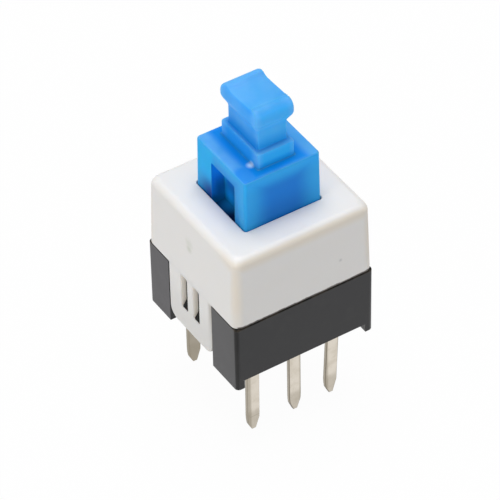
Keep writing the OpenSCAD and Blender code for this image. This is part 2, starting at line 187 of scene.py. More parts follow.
class Graph:
    """The nodes of a material or of the world, all made through one method."""

    def __init__(self, owner: bpy.types.Material | bpy.types.World) -> None:
        """Starts with the output and the shader that Blender gives."""
        owner.use_nodes = True
        self.owner = owner
        self.tree = owner.node_tree
        self.surface = next(n for n in self.tree.nodes if n.name.endswith("Output")).inputs["Surface"]
        self.shader = self.surface.links[0].from_node

    @classmethod
    def of(cls, name: str) -> "Graph":
        """The nodes of a new material."""
        return cls(bpy.data.materials.new(name))

    def node(
        self,
        kind: str,
        settings: dict[str, object] | None = None,
        inputs: dict[int | str, object] | None = None,
        output: int | str = 0,
    ) -> Wire:
        """Adds a node.

        Args:
            kind: The node's type.
            settings: Its settings, set first.
            inputs: Values or wires for its sockets, by name or number.
            output: The socket to hand back.

        Returns:
            The output as a wire.
        """
        made = self.tree.nodes.new(kind)
        for key, value in (settings or {}).items():
            setattr(made, key, value)
        for key, value in (inputs or {}).items():
            self.plug(made.inputs[key], value)
        return Wire(self, made.outputs[output])

    def plug(self, socket: bpy.types.NodeSocket, value: object) -> None:
        """Links a wire to a socket, or sets the socket's own value."""
        if isinstance(value, Wire):
            self.tree.links.new(value.socket, socket)
        elif isinstance(value, (tuple, list)) and len(value) == 3 and socket.type == "RGBA":
            socket.default_value = (*value, 1.0)
        else:
            socket.default_value = value

    def finish(self, **sockets: object) -> None:
        """Sets the shader's sockets, named with underscores for spaces."""
        for key, value in sockets.items():
            self.plug(self.shader.inputs[key.replace("_", " ")], value)

    def ray(self, kind: str) -> Wire:
        """Whether a ray is of a kind, by the name of Light Path's socket."""
        return self.node("ShaderNodeLightPath", output=kind)

    def place(self) -> Wire:
        """The point on the piece in millimetres."""
        here = self.node("ShaderNodeTexCoord", output="Object")
        return self.node(
            "ShaderNodeVectorMath", {"operation": "SCALE"}, {"Vector": here, "Scale": 1 / MM}
        )

    def parts(self, vector: Wire) -> tuple[Wire, ...]:
        """A vector's three numbers."""
        first = self.node("ShaderNodeSeparateXYZ", inputs={0: vector})
        return tuple(Wire(self, socket) for socket in first.socket.node.outputs)

    def facing(self) -> tuple[Wire, ...]:
        """The surface normal's three numbers, on the piece's own axes."""
        return self.parts(self.node("ShaderNodeTexCoord", output="Normal"))

    def noise(self, place: Wire, speckle: Speckle) -> Wire:
        """Noise from 0 to 1."""
        sockets = {"Scale": speckle.scale, "Detail": speckle.detail, "Roughness": speckle.rough}
        return self.node("ShaderNodeTexNoise", inputs={"Vector": place, **sockets})

    def near(self, place: Wire, spot: Triple, radius: float) -> Wire:
        """A soft round mask: 1 at a spot, 0 past a radius from it."""
        far = self.node(
            "ShaderNodeVectorMath", {"operation": "DISTANCE"}, {0: place, 1: spot}, "Value"
        )
        return far.fade(radius, 0.0)

    def blend(self, factor: Wire | float, first: object, second: object) -> Wire:
        """Mixes two colours by a factor."""
        return self.node(
            "ShaderNodeMix",
            {"data_type": "RGBA", "clamp_factor": True},
            {"Factor": factor, 6: first, 7: second},
            2,
        )

    def layers(self, base: Triple | Wire, *coats: tuple[Wire, Tone]) -> Triple | Wire:
        """Lays tones over a colour in order, each through its own mask."""
        for mask, tone in coats:
            base = self.blend(mask * tone.share, base, tone.colour)
        return base

    def bump(self, height: Wire, depth: float) -> Wire:
        """A normal bent by a height from 0 to 1 that stands for this depth in millimetres."""
        return self.node("ShaderNodeBump", inputs={"Distance": depth * MM, "Height": height})


# ---- Finishes ----


@dataclass(frozen=True)
class WhiteNylon:
    """Satin off-white moulded plastic with smudges, and painted light and shade: warmer edges, a
    shadow at the front seam, bluish bounce on top, shade on the left tab, glow in the windows.
    """

    slot: Slot = Slot.WHITE
    body: Triple = (0.812, 0.797, 0.778)
    # painted light: a warm tint on the rounded top edge, strongest at the front, and on the upright
    # corners
    edge_light_tint: Tone = Tone((0.80, 0.70, 0.55))
    # painted shade on the tab's rounded edge that faces -Y
    tab_edge_shade: Tone = Tone((0.36, 0.32, 0.27), 0.65)
    # painted shadow: the thin dark line under the cover's front edge
    seam_shadow: Tone = Tone((0.035, 0.022, 0.014), 0.95)
    # painted reflected light: a bluish tint on the top near the blue plunger
    blue_bounce: Tone = Tone((0.78, 0.79, 0.825), 0.3)
    # painted shade on the left tab's outer face, darker towards its bottom
    low_tab_shade: Tone = Tone((0.70, 0.69, 0.67), 0.8)
    stain: Tone = Tone((0.50, 0.53, 0.42), 0.55)
    fleck: Tone = Tone((0.42, 0.42, 0.44), 0.5)
    mottle: Tone = Tone((0.72, 0.70, 0.66), 0.06)
    unlit: Triple = (0.0, 0.0, 0.0)
    # painted glow on the window walls, standing for light through the thin tab
    glow: Triple = (0.80, 0.72, 0.58)
    clouds: Speckle = Speckle(0.7, 3.0)
    stain_cloud: Span = (0.3, 0.6)
    mottle_cloud: Span = (0.4, 0.75)
    grain: Speckle = Speckle(14.0)
    relief: float = 0.004
    rough: Span = (0.42, 0.52)
    rim: Spans = ((6.4, 6.9), (7.19, 7.0), (3.1, 3.35))
    rim_front: Span = (-1.6, -3.4)
    rim_share: Span = (0.04, 0.54)
    post: Spans = ((2.95, 3.35), (7.0, 6.6))
    post_rise: Span = (3.4, 5.0)
    post_share: Span = (0.22, 0.55)
    tab_y: float = 0.13
    tab_end: float = -1.56
    crease: Spans = ((0.36, 0.05), (3.6, 3.4))
    ragged: Speckle = Speckle(2.6, 3.0, 0.7)
    ragged_depth: float = 0.12
    seam: Spans = ((-3.36, -3.44), (3.70, 3.65))
    bounce_area: Spans = ((7.0, 7.18), (3.0, 1.97))
    hang: Spans = ((-0.6, -0.95), (3.5, 1.2), (3.3, 3.4))
    window: Spans = ((0.6, 0.3), (3.1, 3.2), (1.5, 1.7), (3.5, 3.4), (0.95, 0.75))
    smudges: tuple[Spot, Spot] = (((-3.45, 0.12, 5.80), 0.42), ((-3.45, 0.14, 5.45), 0.3))
    speck: Spot = ((1.83, -3.46, 4.85), 0.13)

    def make(self) -> bpy.types.Material:
        """Builds the material.

        Returns:
            The material.
        """
        g = Graph.of(self.slot.value)
        place = g.place()
        x, y, z = g.parts(place)
        nx, _, _ = g.facing()
        cloud, grain = (g.noise(place, speckle) for speckle in (self.clouds, self.grain))
        reach = abs(x).most(abs(y))
        # where the painted warm edge light goes: the rounded top edge and the upright corners
        rim = mask(self.rim, z, z, reach) * y.fade(*self.rim_front).lift(*self.rim_share)
        post = mask(self.post, abs(x).least(abs(y)), z)
        post = post * z.fade(*self.post_rise).lift(*self.post_share)
        ragged = z + g.noise(place, self.ragged) * self.ragged_depth
        upper, lower = (g.near(place, *spot) for spot in self.smudges)
        window = mask(self.window, abs(nx), abs(x), z, z, abs(y - self.tab_y))
        colour = g.layers(
            self.body,
            (rim.most(post), self.edge_light_tint),
            # painted shade on the tab's -Y edge
            (mask(self.crease, abs(y - self.tab_end), z), self.tab_edge_shade),
            # painted shadow along the front seam, made ragged by noise
            (mask(self.seam, y, ragged), self.seam_shadow),
            # painted bluish bounce light on the top round the opening
            (mask(self.bounce_area, z, reach), self.blue_bounce),
            # painted shade low on the left tab
            (mask(self.hang, nx, z, abs(x)), self.low_tab_shade),
            (upper.most(lower) * cloud.fade(*self.stain_cloud), self.stain),
            (g.near(place, *self.speck), self.fleck),
            (cloud.fade(*self.mottle_cloud), self.mottle),
        )
        g.finish(
            Base_Color=colour,
            Roughness=grain.lift(*self.rough),
            Normal=g.bump(grain, self.relief),
            # painted glow: the window walls light up as though light came through the tab
            Emission_Color=g.blend(window, self.unlit, self.glow),
            Emission_Strength=0.22,
            Subsurface_Weight=0.2,
            Subsurface_Radius=(0.8, 0.65, 0.5),
            Subsurface_Scale=0.3 * MM,
        )
        return g.owner


@dataclass(frozen=True)
class BlackMoulding:
    """Satin black moulded plastic with a fine grain and dust at the seam, painted paler on its left
    where light falls, and with painted shade at its front corner, behind the windows and along the
    front seam.
    """

    slot: Slot = Slot.BLACK
    body: Triple = (0.0095, 0.0095, 0.0115)
    # painted light: the left faces paler, more so towards the back
    lit: Triple = (0.040, 0.039, 0.042)
    far_lit: Triple = (0.052, 0.049, 0.055)
    # painted shade at the front corner, on the wedges behind the tab windows and along the base's top
    # front edge under the cover
    unlit: Tone = Tone((0.002, 0.002, 0.002))
    scuff: Tone = Tone((0.06, 0.058, 0.056), 0.16)
    dust: Tone = Tone((0.09, 0.07, 0.05), 0.5)
    clouds: Speckle = Speckle(1.3, 4.0, 0.65)
    scuff_cloud: Span = (0.45, 0.8)
    grain: Speckle = Speckle(22.0, 3.0)
    relief: float = 0.006
    rough: Span = (0.34, 0.46)
    wedge_rough: float = 0.5
    corner_rough: float = 0.15
    left_facing: Span = (-0.6, -0.95)
    lit_y: Span = (-3.0, 3.5)
    corner: Spans = ((-0.15, -0.5), (-0.15, -0.5))
    tab_y: float = 0.13
    wedge: Spans = ((3.05, 3.1), (0.8, 0.74), (1.5, 1.6), (2.7, 2.6))
    front_seam_shade: Spans = ((3.42, 3.46), (-3.3, -3.4))
    seam: Spans = ((3.36, 3.5), (3.4, 3.48), (0.4, 0.6))

    def make(self) -> bpy.types.Material:
        """Builds the material.

        Returns:
            The material.
        """
        g = Graph.of(self.slot.value)
        place = g.place()
        x, y, z = g.parts(place)
        nx, ny, _ = g.facing()
        cloud, grain = (g.noise(place, speckle) for speckle in (self.clouds, self.grain))
        left = g.blend(y.fade(*self.lit_y), self.lit, self.far_lit)
        corner = mask(self.corner, nx, ny)
        # painted shade behind the tab windows and along the front seam
        wedge = mask(self.wedge, abs(x), abs(y - self.tab_y), z, z).most(mask(self.front_seam_shade, z, y))
        colour = g.layers(
            # painted light on the left faces
            g.blend(nx.fade(*self.left_facing), self.body, left),
            (corner.most(wedge), self.unlit),
            (cloud.fade(*self.scuff_cloud), self.scuff),
            (mask(self.seam, z, abs(x).most(abs(y)), cloud), self.dust),
        )
        rough = cloud.lift(*self.rough) + wedge * self.wedge_rough + corner * self.corner_rough
        g.finish(
            Base_Color=colour,
            Roughness=rough,
            Normal=g.bump(grain, self.relief),
            Specular_IOR_Level=0.42,
        )
        return g.owner


@dataclass(frozen=True)
class BluePlastic:
    """Glossy blue plastic that light soaks into, painted to show it: pale where it is thin, deep
    where it isn't, with painted shade, sheen, a highlight and a glow.
    """

    slot: Slot = Slot.BLUE
    body: Triple = (0.010, 0.20, 0.72)
    # painted glow: pale on the shaft's corners, the shoulder's rim and the crown, where light comes
    # through
    pale: Tone = Tone((0.035, 0.40, 0.86))
    # painted light tone on the upward faces of the shaft's top and the shoulder rim
    ledge_light: Tone = Tone((0.05, 0.31, 0.70), 0.7)
    # painted shade: the left faces above the shoulder go back towards the deep body blue
    left_face_shade: Tone = Tone((0.010, 0.20, 0.72), 0.65)
    # painted glow near the crown's outer edges, where the plastic is thin
    thin_edge_glow: Tone = Tone((0.14, 0.42, 0.82), 0.65)
    # painted sheen on the upward faces and the head, broken up by noise
    top_sheen: Tone = Tone((0.14, 0.42, 0.82))
    # painted shade on the shoulder round the plinth's foot, in a pool at its front-left, and on the
    # neck under the head's overhang
    deep: Tone = Tone((0.001, 0.19, 0.66))
    # painted shade low on the shaft where it goes into the cover, less on its corners
    low_shade: Tone = Tone((0.003, 0.035, 0.22), 0.35)
    # painted shade deep in the recess, lifted on a painted lit patch of its back wall
    recess_shade: Tone = Tone((0.001, 0.008, 0.05))
    # painted light on the shaft's left face beside the recess
    rail_light: Tone = Tone((0.004, 0.46, 0.92), 0.9)
    dark: Tone = Tone((0.003, 0.035, 0.22), 0.9)
    # painted highlight in the hollow at the foot of the plinth's left side
    corner_highlight: Tone = Tone((0.62, 0.78, 0.95), 0.9)
    unlit: Triple = (0.0, 0.0, 0.0)
    # painted glow colour for light through the plastic; the lamp mask below says where it shows
    painted_glow: Triple = (0.0, 0.26, 0.62)
    clouds: Speckle = Speckle(0.9)
    sheen_cloud: Span = (0.2, 0.7)
    sheen_cloud_share: Span = (0.2, 0.7)
    grain: Speckle = Speckle(16.0)
    relief: float = 0.002
    rough: Span = (0.42, 0.50)
    up: Span = (0.3, 0.9)
    turn: Span = (-0.2, -0.9)
    left: Span = (-0.4, -0.9)
    shaft_z: Span = (9.78, 9.51)
    rim_z: Span = (8.81, 9.66)
    upper_z: Span = (9.76, 9.86)
    crown_z: Span = (9.86, 10.66)
    step_z: Span = (10.45, 10.55)
    corner_out: Span = (0.5, 1.75)
    thin_x: float = 1.1
    thin_y: float = 0.75
    thin_out: Span = (0.62, 0.98)
    front_shaft: float = 0.3
    front_rim: float = 0.4
    sheen_z: Span = (10.26, 10.96)
    sheen_z_share: float = 0.7
    plinth: Span = (0.92, 1.44)
    pool: Spot = ((-1.4, -1.5, 9.76), 1.1)
    pool_span: Span = (0.1, 0.6)
    pool_share: float = 0.75
    band: Spans = ((-0.02, 0.04), (0.6, 0.9), (10.06, 9.86))
    band_end: Span = (0.65, 0.2)
    band_lamp: float = 0.7
    skirt: Spans = ((10.16, 9.76), (9.74, 9.78), (0.12, 0.02))
    skirt_share: float = 0.7
    neck: Span = (0.74, 1.15)
    waist: Spans = ((0.2, 0.02), (11.30, 10.65))
    waist_share: Span = (0.5, 0.9)
    recess_y: float = -0.2
    recess: Spans = ((0.98, 0.86), (9.16, 9.1), (-1.2, -1.25))
    inside_x: Span = (-1.88, -1.43)
    inside_z: Span = (7.5, 7.0)
    patch: Spot = ((-1.2, 0.25, 7.25), 0.95)
    patch_share: float = 0.95
    pit_z: Span = (8.3, 7.3)
    mouth: Spans = ((-1.89, -1.8), (7.7, 8.7))
    cheek_z: Span = (11.15, 11.65)
    cheek_lamp: Span = (0.55, 0.90)
    top_lamp: float = 0.45
    sunk_z: Span = (8.69, 7.19)
    sunk_corner: float = 0.6
    rail: Spans = ((0.3, 0.8), (1.85, 1.6), (7.3, 8.6))
    shade: Spans = ((0.62, 0.7), (1.9, 0.7), (8.3, 7.3))
    highlight_spot: Spot = ((-1.01, -0.98, 9.76), 0.26)

    def make(self) -> bpy.types.Material:
        """Builds the material.

        Returns:
            The material.
        """
        g = Graph.of(self.slot.value)
        place = g.place()
        x, y, z = g.parts(place)
        nx, ny, nz = g.facing()
        cloud, grain = (g.noise(place, speckle) for speckle in (self.clouds, self.grain))
        up, side, step = nz.fade(*self.up), nx.fade(*self.turn), z.fade(*self.step_z)
        shaft, rim, upper = (z.fade(*span) for span in (self.shaft_z, self.rim_z, self.upper_z))
        corner = abs(x).least(abs(y)).fade(*self.corner_out) * shaft
        # where the painted pale glow goes
        glow = corner.most(rim).most(z.fade(*self.crown_z))
        # where the painted thin-edge glow goes
        thin = (abs(x) * self.thin_x).least(abs(y) * self.thin_y).fade(*self.thin_out) * upper
        front = upper + shaft * self.front_shaft + rim * shaft * self.front_rim
        front = ny.fade(*self.turn) * front
        # where the painted sheen goes: upward faces and the head, within the glow areas
        sheen_area = up.most(z.fade(*self.sheen_z) * self.sheen_z_share)
        sheen_area = glow * sheen_area * cloud.fade(*self.sheen_cloud).lift(*self.sheen_cloud_share)
        # band, skirt and waist: where the painted shade round the plinth and under the head goes
        gap = (abs(x) - self.plinth[0]).most(abs(y) - self.plinth[1])
        pool = g.near(place, *self.pool).fade(*self.pool_span) * self.pool_share
        band = mask(self.band, gap, nz, z) * gap.fade(*self.band_end).most(pool) * rim
        skirt = mask(self.skirt, z, z, gap) * self.skirt_share
        waist = mask(self.waist, (abs(x) - self.neck[0]).most(abs(y) - self.neck[1]), z)
        waist = waist * step * side.lift(*self.waist_share)
        # hollow, inside, patch and pit: where the painted recess shade and its lit patch go
        hollow = mask(self.recess, abs(y - self.recess_y), z, x)
        inside = hollow * x.fade(*self.inside_x).most(z.fade(*self.inside_z))
        patch = g.near(place, *self.patch)
        pit = inside * z.fade(*self.pit_z) * (1.0 - patch * self.patch_share)
        # painted glow: the recess's mouth and a patch of its back wall, the band round the plinth,
        # the head's top and left side, and the front faces
        lamp = (hollow * mask(self.mouth, x, z)).most(inside * patch)
        lamp = lamp.most(band * self.band_lamp).most(up * step * self.top_lamp).most(front)
        lamp = lamp.most(side * upper * z.fade(*self.cheek_z).lift(*self.cheek_lamp))
        colour = g.layers(
            self.body,
            (glow, self.pale),
            (up * shaft.most(rim), self.ledge_light),
            (nx.fade(*self.left) * upper, self.left_face_shade),
            (thin, self.thin_edge_glow),
            (sheen_area, self.top_sheen),
            (band.most(skirt).most(waist), self.deep),
            (z.fade(*self.sunk_z) * (1.0 - corner * self.sunk_corner), self.low_shade),
            (pit, self.recess_shade),
            (side * mask(self.rail, y, y, z) * shaft, self.rail_light),
            (side * mask(self.shade, y, y, z), self.dark),
            # painted highlight at the plinth's foot
            (g.near(place, *self.highlight_spot), self.corner_highlight),
        )
        g.finish(
            Base_Color=colour,
            Roughness=grain.lift(*self.rough),
            Specular_IOR_Level=0.13,
            Normal=g.bump(grain, self.relief),
            # painted glow from inside the plastic
            Emission_Color=g.blend(lamp, self.unlit, self.painted_glow),
            Emission_Strength=0.3,
            Subsurface_Weight=0.35,
            Subsurface_Radius=(0.15, 0.5, 1.0),
            Subsurface_Scale=0.8 * MM,
        )
        return g.owner


@dataclass(frozen=True)
class BareMetal:
    """Metal with a faint grain along its length and duller patches."""

    slot: Slot
    body: Triple
    dull: Triple
    patch: float = 0.5
    patch_cloud: Span = (0.42, 0.72)
    clouds: Speckle = Speckle(2.2, 4.0, 0.6)
    grain: Speckle = Speckle(18.0, 3.0)
    grain_along: Triple = (1.0, 1.0, 0.12)
    relief: float = 0.004
    rough: float = 0.3
    grain_rough: float = 0.16
    cloud_rough: float = 0.08

    def wear_and_shade(self, g: Graph, place: Wire, colour: Wire) -> Wire:
        """The colour with the piece's wear and painted shade; plain metal has none."""
        return colour

    def make(self) -> bpy.types.Material:
        """Builds the material.

        Returns:
            The material.
        """
        g = Graph.of(self.slot.value)
        place = g.place()
        cloud = g.noise(place, self.clouds)
        drawn = g.node("ShaderNodeMapping", inputs={"Vector": place, "Scale": self.grain_along})
        grain = g.noise(drawn, self.grain)
        colour = g.blend(cloud.fade(*self.patch_cloud) * self.patch, self.body, self.dull)
        g.finish(
            Base_Color=self.wear_and_shade(g, place, colour),
            Metallic=1.0,
            Roughness=self.rough + grain * self.grain_rough + cloud * self.cloud_rough,
            Normal=g.bump(grain, self.relief),
        )
        return g.owner


@dataclass(frozen=True)
class TinPlate(BareMetal):
    """Dull tin plate on the pins, browner on their cut edges, tips and one crease, with painted shade
    along their edges, on their undersides and on the rear-left pin.
    """

    slot: Slot = Slot.TIN
    body: Triple = (0.78, 0.72, 0.63)
    dull: Triple = (0.60, 0.54, 0.44)
    rough: float = 0.34
    cut_edge_and_shade: Tone = Tone((0.33, 0.29, 0.22))
    # painted shade where the faces meet at the edges, and on faces that look down
    edge_shade: Tone = Tone((0.12, 0.10, 0.08), 0.85)
    # painted shade along the front faces' long edges, darker than their middle
    long_edge_shade: Tone = Tone((0.33, 0.29, 0.22), 0.55)
    pitch: float = 2.0
    worn_facing: Span = (0.95, 0.4)
    worn_share: float = 0.3
    tip_z: Span = (-2.45, -2.9)
    tip_share: float = 0.4
    arris_facing: Span = (0.02, 0.2)
    under_facing: Span = (-0.05, -0.3)
    edge: Spans = ((0.2, 0.31), (0.6, 0.4))
    crease_height: float = -2.97
    crease: Spans = ((0.03, 0.0), (0.4, 0.3))
    crease_share: float = 0.6
    # painted shade on the rear-left pin, which stands in the tab's shade
    rear: Spans = ((1.5, 2.0), (-1.0, -1.6))
    rear_share: float = 0.75

    def wear_and_shade(self, g: Graph, place: Wire, colour: Wire) -> Wire:
        """Darkens the cut edges, the tips and one crease, and paints shade along the edges, on the
        undersides and on the pin that stands in the shade.

        Args:
            g: The material's nodes.
            place: The point on the piece in millimetres.
            colour: The colour of clean plate.

        Returns:
            The colour with its wear and painted shade.
        """
        nx, ny, nz = g.facing()
        x, y, z = g.parts(place)
        worn = abs(ny).fade(*self.worn_facing) * self.worn_share
        worn = worn.most(z.fade(*self.tip_z) * self.tip_share)
        # painted shade on the bevels and undersides
        arris = (abs(nx) * abs(ny)).fade(*self.arris_facing).most(nz.fade(*self.under_facing))
        # painted shade along the pins' long edges
        across = mask(self.edge, abs(x).least(abs(abs(x) - self.pitch)), z)
        crease = mask(self.crease, abs(z - self.crease_height), abs(x + self.pitch))
        crease = crease * self.crease_share
        # painted shade on the rear-left pin
        rear = mask(self.rear, y, x) * self.rear_share
        return g.layers(
            colour,
            (worn, self.cut_edge_and_shade),
            (arris, self.edge_shade),
            (across, self.long_edge_shade),
            (rear.most(crease), self.cut_edge_and_shade),
        )


# ---- Modelling ----


class Bench:
    """Models pieces with Blender's own operators, in millimetres."""

    corner_steps: int = 6
    edge_steps: int = 8

    @staticmethod
    @contextmanager
    def editing() -> Iterator[None]:
        """Edit mode on the active object, for as long as the block below runs."""
        bpy.ops.object.mode_set(mode="EDIT")
        yield
        bpy.ops.object.mode_set(mode="OBJECT")

    @staticmethod
    def clear() -> None:
        """Deselects every object."""
        bpy.ops.object.select_all(action="DESELECT")

    @classmethod
    def only(cls, piece: Piece) -> None:
        """Selects one object and makes it the active one."""
        cls.clear()
        piece.select_set(True)
        bpy.context.view_layer.objects.active = piece

    @classmethod
    def block(cls, name: str, low: Triple, high: Triple) -> Piece:
        """Adds a box between two corners."""
        cls.clear()
        middle = [(a + b) / 2 for a, b in zip(low, high)]
        bpy.ops.mesh.primitive_cube_add(
            size=1, location=middle, scale=[b - a for a, b in zip(low, high)]
        )
        return cls._named(name)

    @classmethod
    def _named(cls, name: str) -> Piece:
        """Names the new object and puts its place into its mesh."""
        piece = bpy.context.active_object
        piece.name = name
        bpy.ops.object.transform_apply(location=True, rotation=True, scale=True)
        return piece

    @classmethod
    def copy_of(cls, name: str, node: Piece) -> Piece:
        """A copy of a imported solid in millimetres, with its loose triangles merged."""
        piece = bpy.data.objects.new(name, node.data.copy())
        bpy.context.scene.collection.objects.link(piece)
        piece.data.transform(node.matrix_world)
        piece.data.transform(Matrix.Scale(1 / MM, 4))
        piece.data.materials.clear()
        cls.only(piece)
        with cls.editing():
            bpy.ops.mesh.select_all(action="SELECT")
            bpy.ops.mesh.remove_doubles(threshold=MERGE)
            bpy.ops.mesh.dissolve_limited(angle_limit=math.radians(1.0))
        return piece

    @staticmethod
    def _pick(piece: Piece, kind: str, wanted: Callable[[bmesh.types.BMElem], bool]) -> None:
        """Selects the points, edges or faces that pass a test, in edit mode."""
        bpy.ops.mesh.select_mode(type=kind)
        bpy.ops.mesh.select_all(action="DESELECT")
        mesh = bmesh.from_edit_mesh(piece.data)
        for item in {"VERT": mesh.verts, "EDGE": mesh.edges, "FACE": mesh.faces}[kind]:
            item.select_set(wanted(item))
        if kind == "VERT":
            mesh.select_flush(True)
        bmesh.update_edit_mesh(piece.data)

    @classmethod
    def faces(cls, piece: Piece, wanted: Callable[[Vector, Vector], bool]) -> None:
        """Selects the faces whose middle and normal pass a test."""
        cls._pick(piece, "FACE", lambda face: wanted(face.calc_center_median(), face.normal))

    @classmethod
    def edges(cls, piece: Piece, wanted: Callable[[Vector, Vector], bool]) -> None:
        """Selects the edges whose middle and direction pass a test."""

        def passes(edge: bmesh.types.BMEdge) -> bool:
            """Whether one edge passes."""
            a, b = (v.co for v in edge.verts)
            return wanted((a + b) / 2, (b - a).normalized())

        cls._pick(piece, "EDGE", passes)

    @classmethod
    def points(cls, piece: Piece, wanted: Callable[[Vector], bool]) -> None:
        """Selects the points that pass a test."""
        cls._pick(piece, "VERT", lambda point: wanted(point.co))

    @staticmethod
    def bevel(width: float, steps: int) -> None:
        """Rounds the edges that are selected."""
        bpy.ops.mesh.bevel(offset=width, segments=steps, affect="EDGES")

    @staticmethod
    def part(point: Triple, normal: Triple, clear: bool = False) -> None:
        """Cuts the whole mesh along a plane; clear drops what is in front and closes the cut."""
        bpy.ops.mesh.select_all(action="SELECT")
        bpy.ops.mesh.bisect(plane_co=point, plane_no=normal, clear_outer=clear, use_fill=clear)

    @staticmethod
    def extrude(offset: Triple) -> None:
        """Extrudes what is selected, and moves it."""
        bpy.ops.mesh.extrude_region_move(TRANSFORM_OT_translate={"value": offset})

    @staticmethod
    def stretch(factors: Triple, centre: Triple = (0.0, 0.0, 0.0)) -> None:
        """Scales what is selected about a point."""
        bpy.ops.transform.resize(value=factors, center_override=centre)

    @classmethod
    def stack(cls, name: str, levels: list[Triple], corner: float) -> Piece:
        """Models a block whose outline follows the given levels.

        Args:
            name: The new object's name.
            levels: Half size across X, half size along Y and height of each level.
            corner: Radius of its upright corners at the first level.

        Returns:
            The block in millimetres.
        """
        (x, y, low), second = levels[0], levels[1]
        piece = cls.block(name, (-x, -y, low), (x, y, second[2]))
        with cls.editing():
            cls.edges(piece, lambda c, d: abs(d.z) > ALONG)
            cls.bevel(corner, cls.corner_steps)
            cls.faces(piece, lambda c, n: n.z > ALONG)
            cls.stretch((second[0] / x, second[1] / y, 1.0))
            x, y, z = second
            for next_x, next_y, next_z in levels[2:]:
                cls.extrude((0.0, 0.0, next_z - z))
                cls.stretch((next_x / x, next_y / y, 1.0))
                x, y, z = next_x, next_y, next_z
        return piece

    @staticmethod
    def quarter(steps: int) -> list[float]:
        """The angles that part a quarter turn into steps."""
        return [math.pi / 2 * i / steps for i in range(steps + 1)]

    @classmethod
    def rounded(cls, x: float, y: float, top: float, in_x: float, high: float) -> list[Triple]:
        """Levels that round the edge about a flat top.

        Args:
            x: Half size across X below the edge.
            y: Half size along Y below the edge.
            top: Height of the flat.
            in_x: Width of the rounding across X.
            high: Its height, and its width along Y.

        Returns:
            The levels.
        """
        levels = []
        for turn in cls.quarter(cls.edge_steps):
            back, down = 1 - math.cos(turn), 1 - math.sin(turn)
            levels.append((x - in_x * back, y - high * back, top - high * down))
        return levels

    @classmethod
    def modify(cls, piece: Piece, kind: str, **settings: object) -> None:
        """Adds a modifier with its settings and applies it."""
        cls.only(piece)
        modifier = piece.modifiers.new(kind.title(), kind)
        for key, value in settings.items():
            setattr(modifier, key, value)
        bpy.ops.object.modifier_apply(modifier=modifier.name)

    @classmethod
    def cut(cls, piece: Piece, cutters: Iterable[Piece]) -> None:
        """Cuts pieces out of another and deletes them."""
        for cutter in cutters:
            cls.modify(piece, "BOOLEAN", operation="DIFFERENCE", object=cutter, solver="EXACT")
            bpy.data.objects.remove(cutter)

    @classmethod
    def soften(cls, piece: Piece, width: float, steps: int = 3, angle: float = 35.0) -> None:
        """Rounds every edge sharper than an angle."""
        cls.modify(
            piece,
            "BEVEL",
            width=width,
            segments=steps,
            limit_method="ANGLE",
            angle_limit=math.radians(angle),
            use_clamp_overlap=True,
            miter_outer="MITER_ARC",
        )

    @classmethod
    def join(cls, first: Piece, others: Sequence[Piece]) -> None:
        """Joins others into the first piece."""
        cls.only(first)
        for other in others:
            other.select_set(True)
        bpy.ops.object.join()

    @classmethod
    def finish(
        cls,
        piece: Piece,
        material: bpy.types.Material,
        body: Body,
        slot: Slot,
        angle: float,
    ) -> None:
        """Brings a piece to metres, smooths it and lets it ride.

        Args:
            piece: The piece, modelled in millimetres.
            material: Its material.
            body: The body that it rides on.
            slot: Not used.
            angle: Edges sharper than this stay crisp, in degrees.
        """
        cls.only(piece)
        piece.scale = (MM, MM, MM)
        bpy.ops.object.transform_apply(location=True, rotation=True, scale=True)
        bpy.ops.object.shade_smooth_by_angle(angle=math.radians(angle))
        cls.modify(piece, "WEIGHTED_NORMAL", mode="FACE_AREA", weight=90, keep_sharp=True)
        piece.data.materials.clear()
        piece.data.materials.append(material)
        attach(piece, body.value)
        LOG.info("%s: %d faces", piece.name, len(piece.data.polygons))


# ---- Sub-assemblies ----


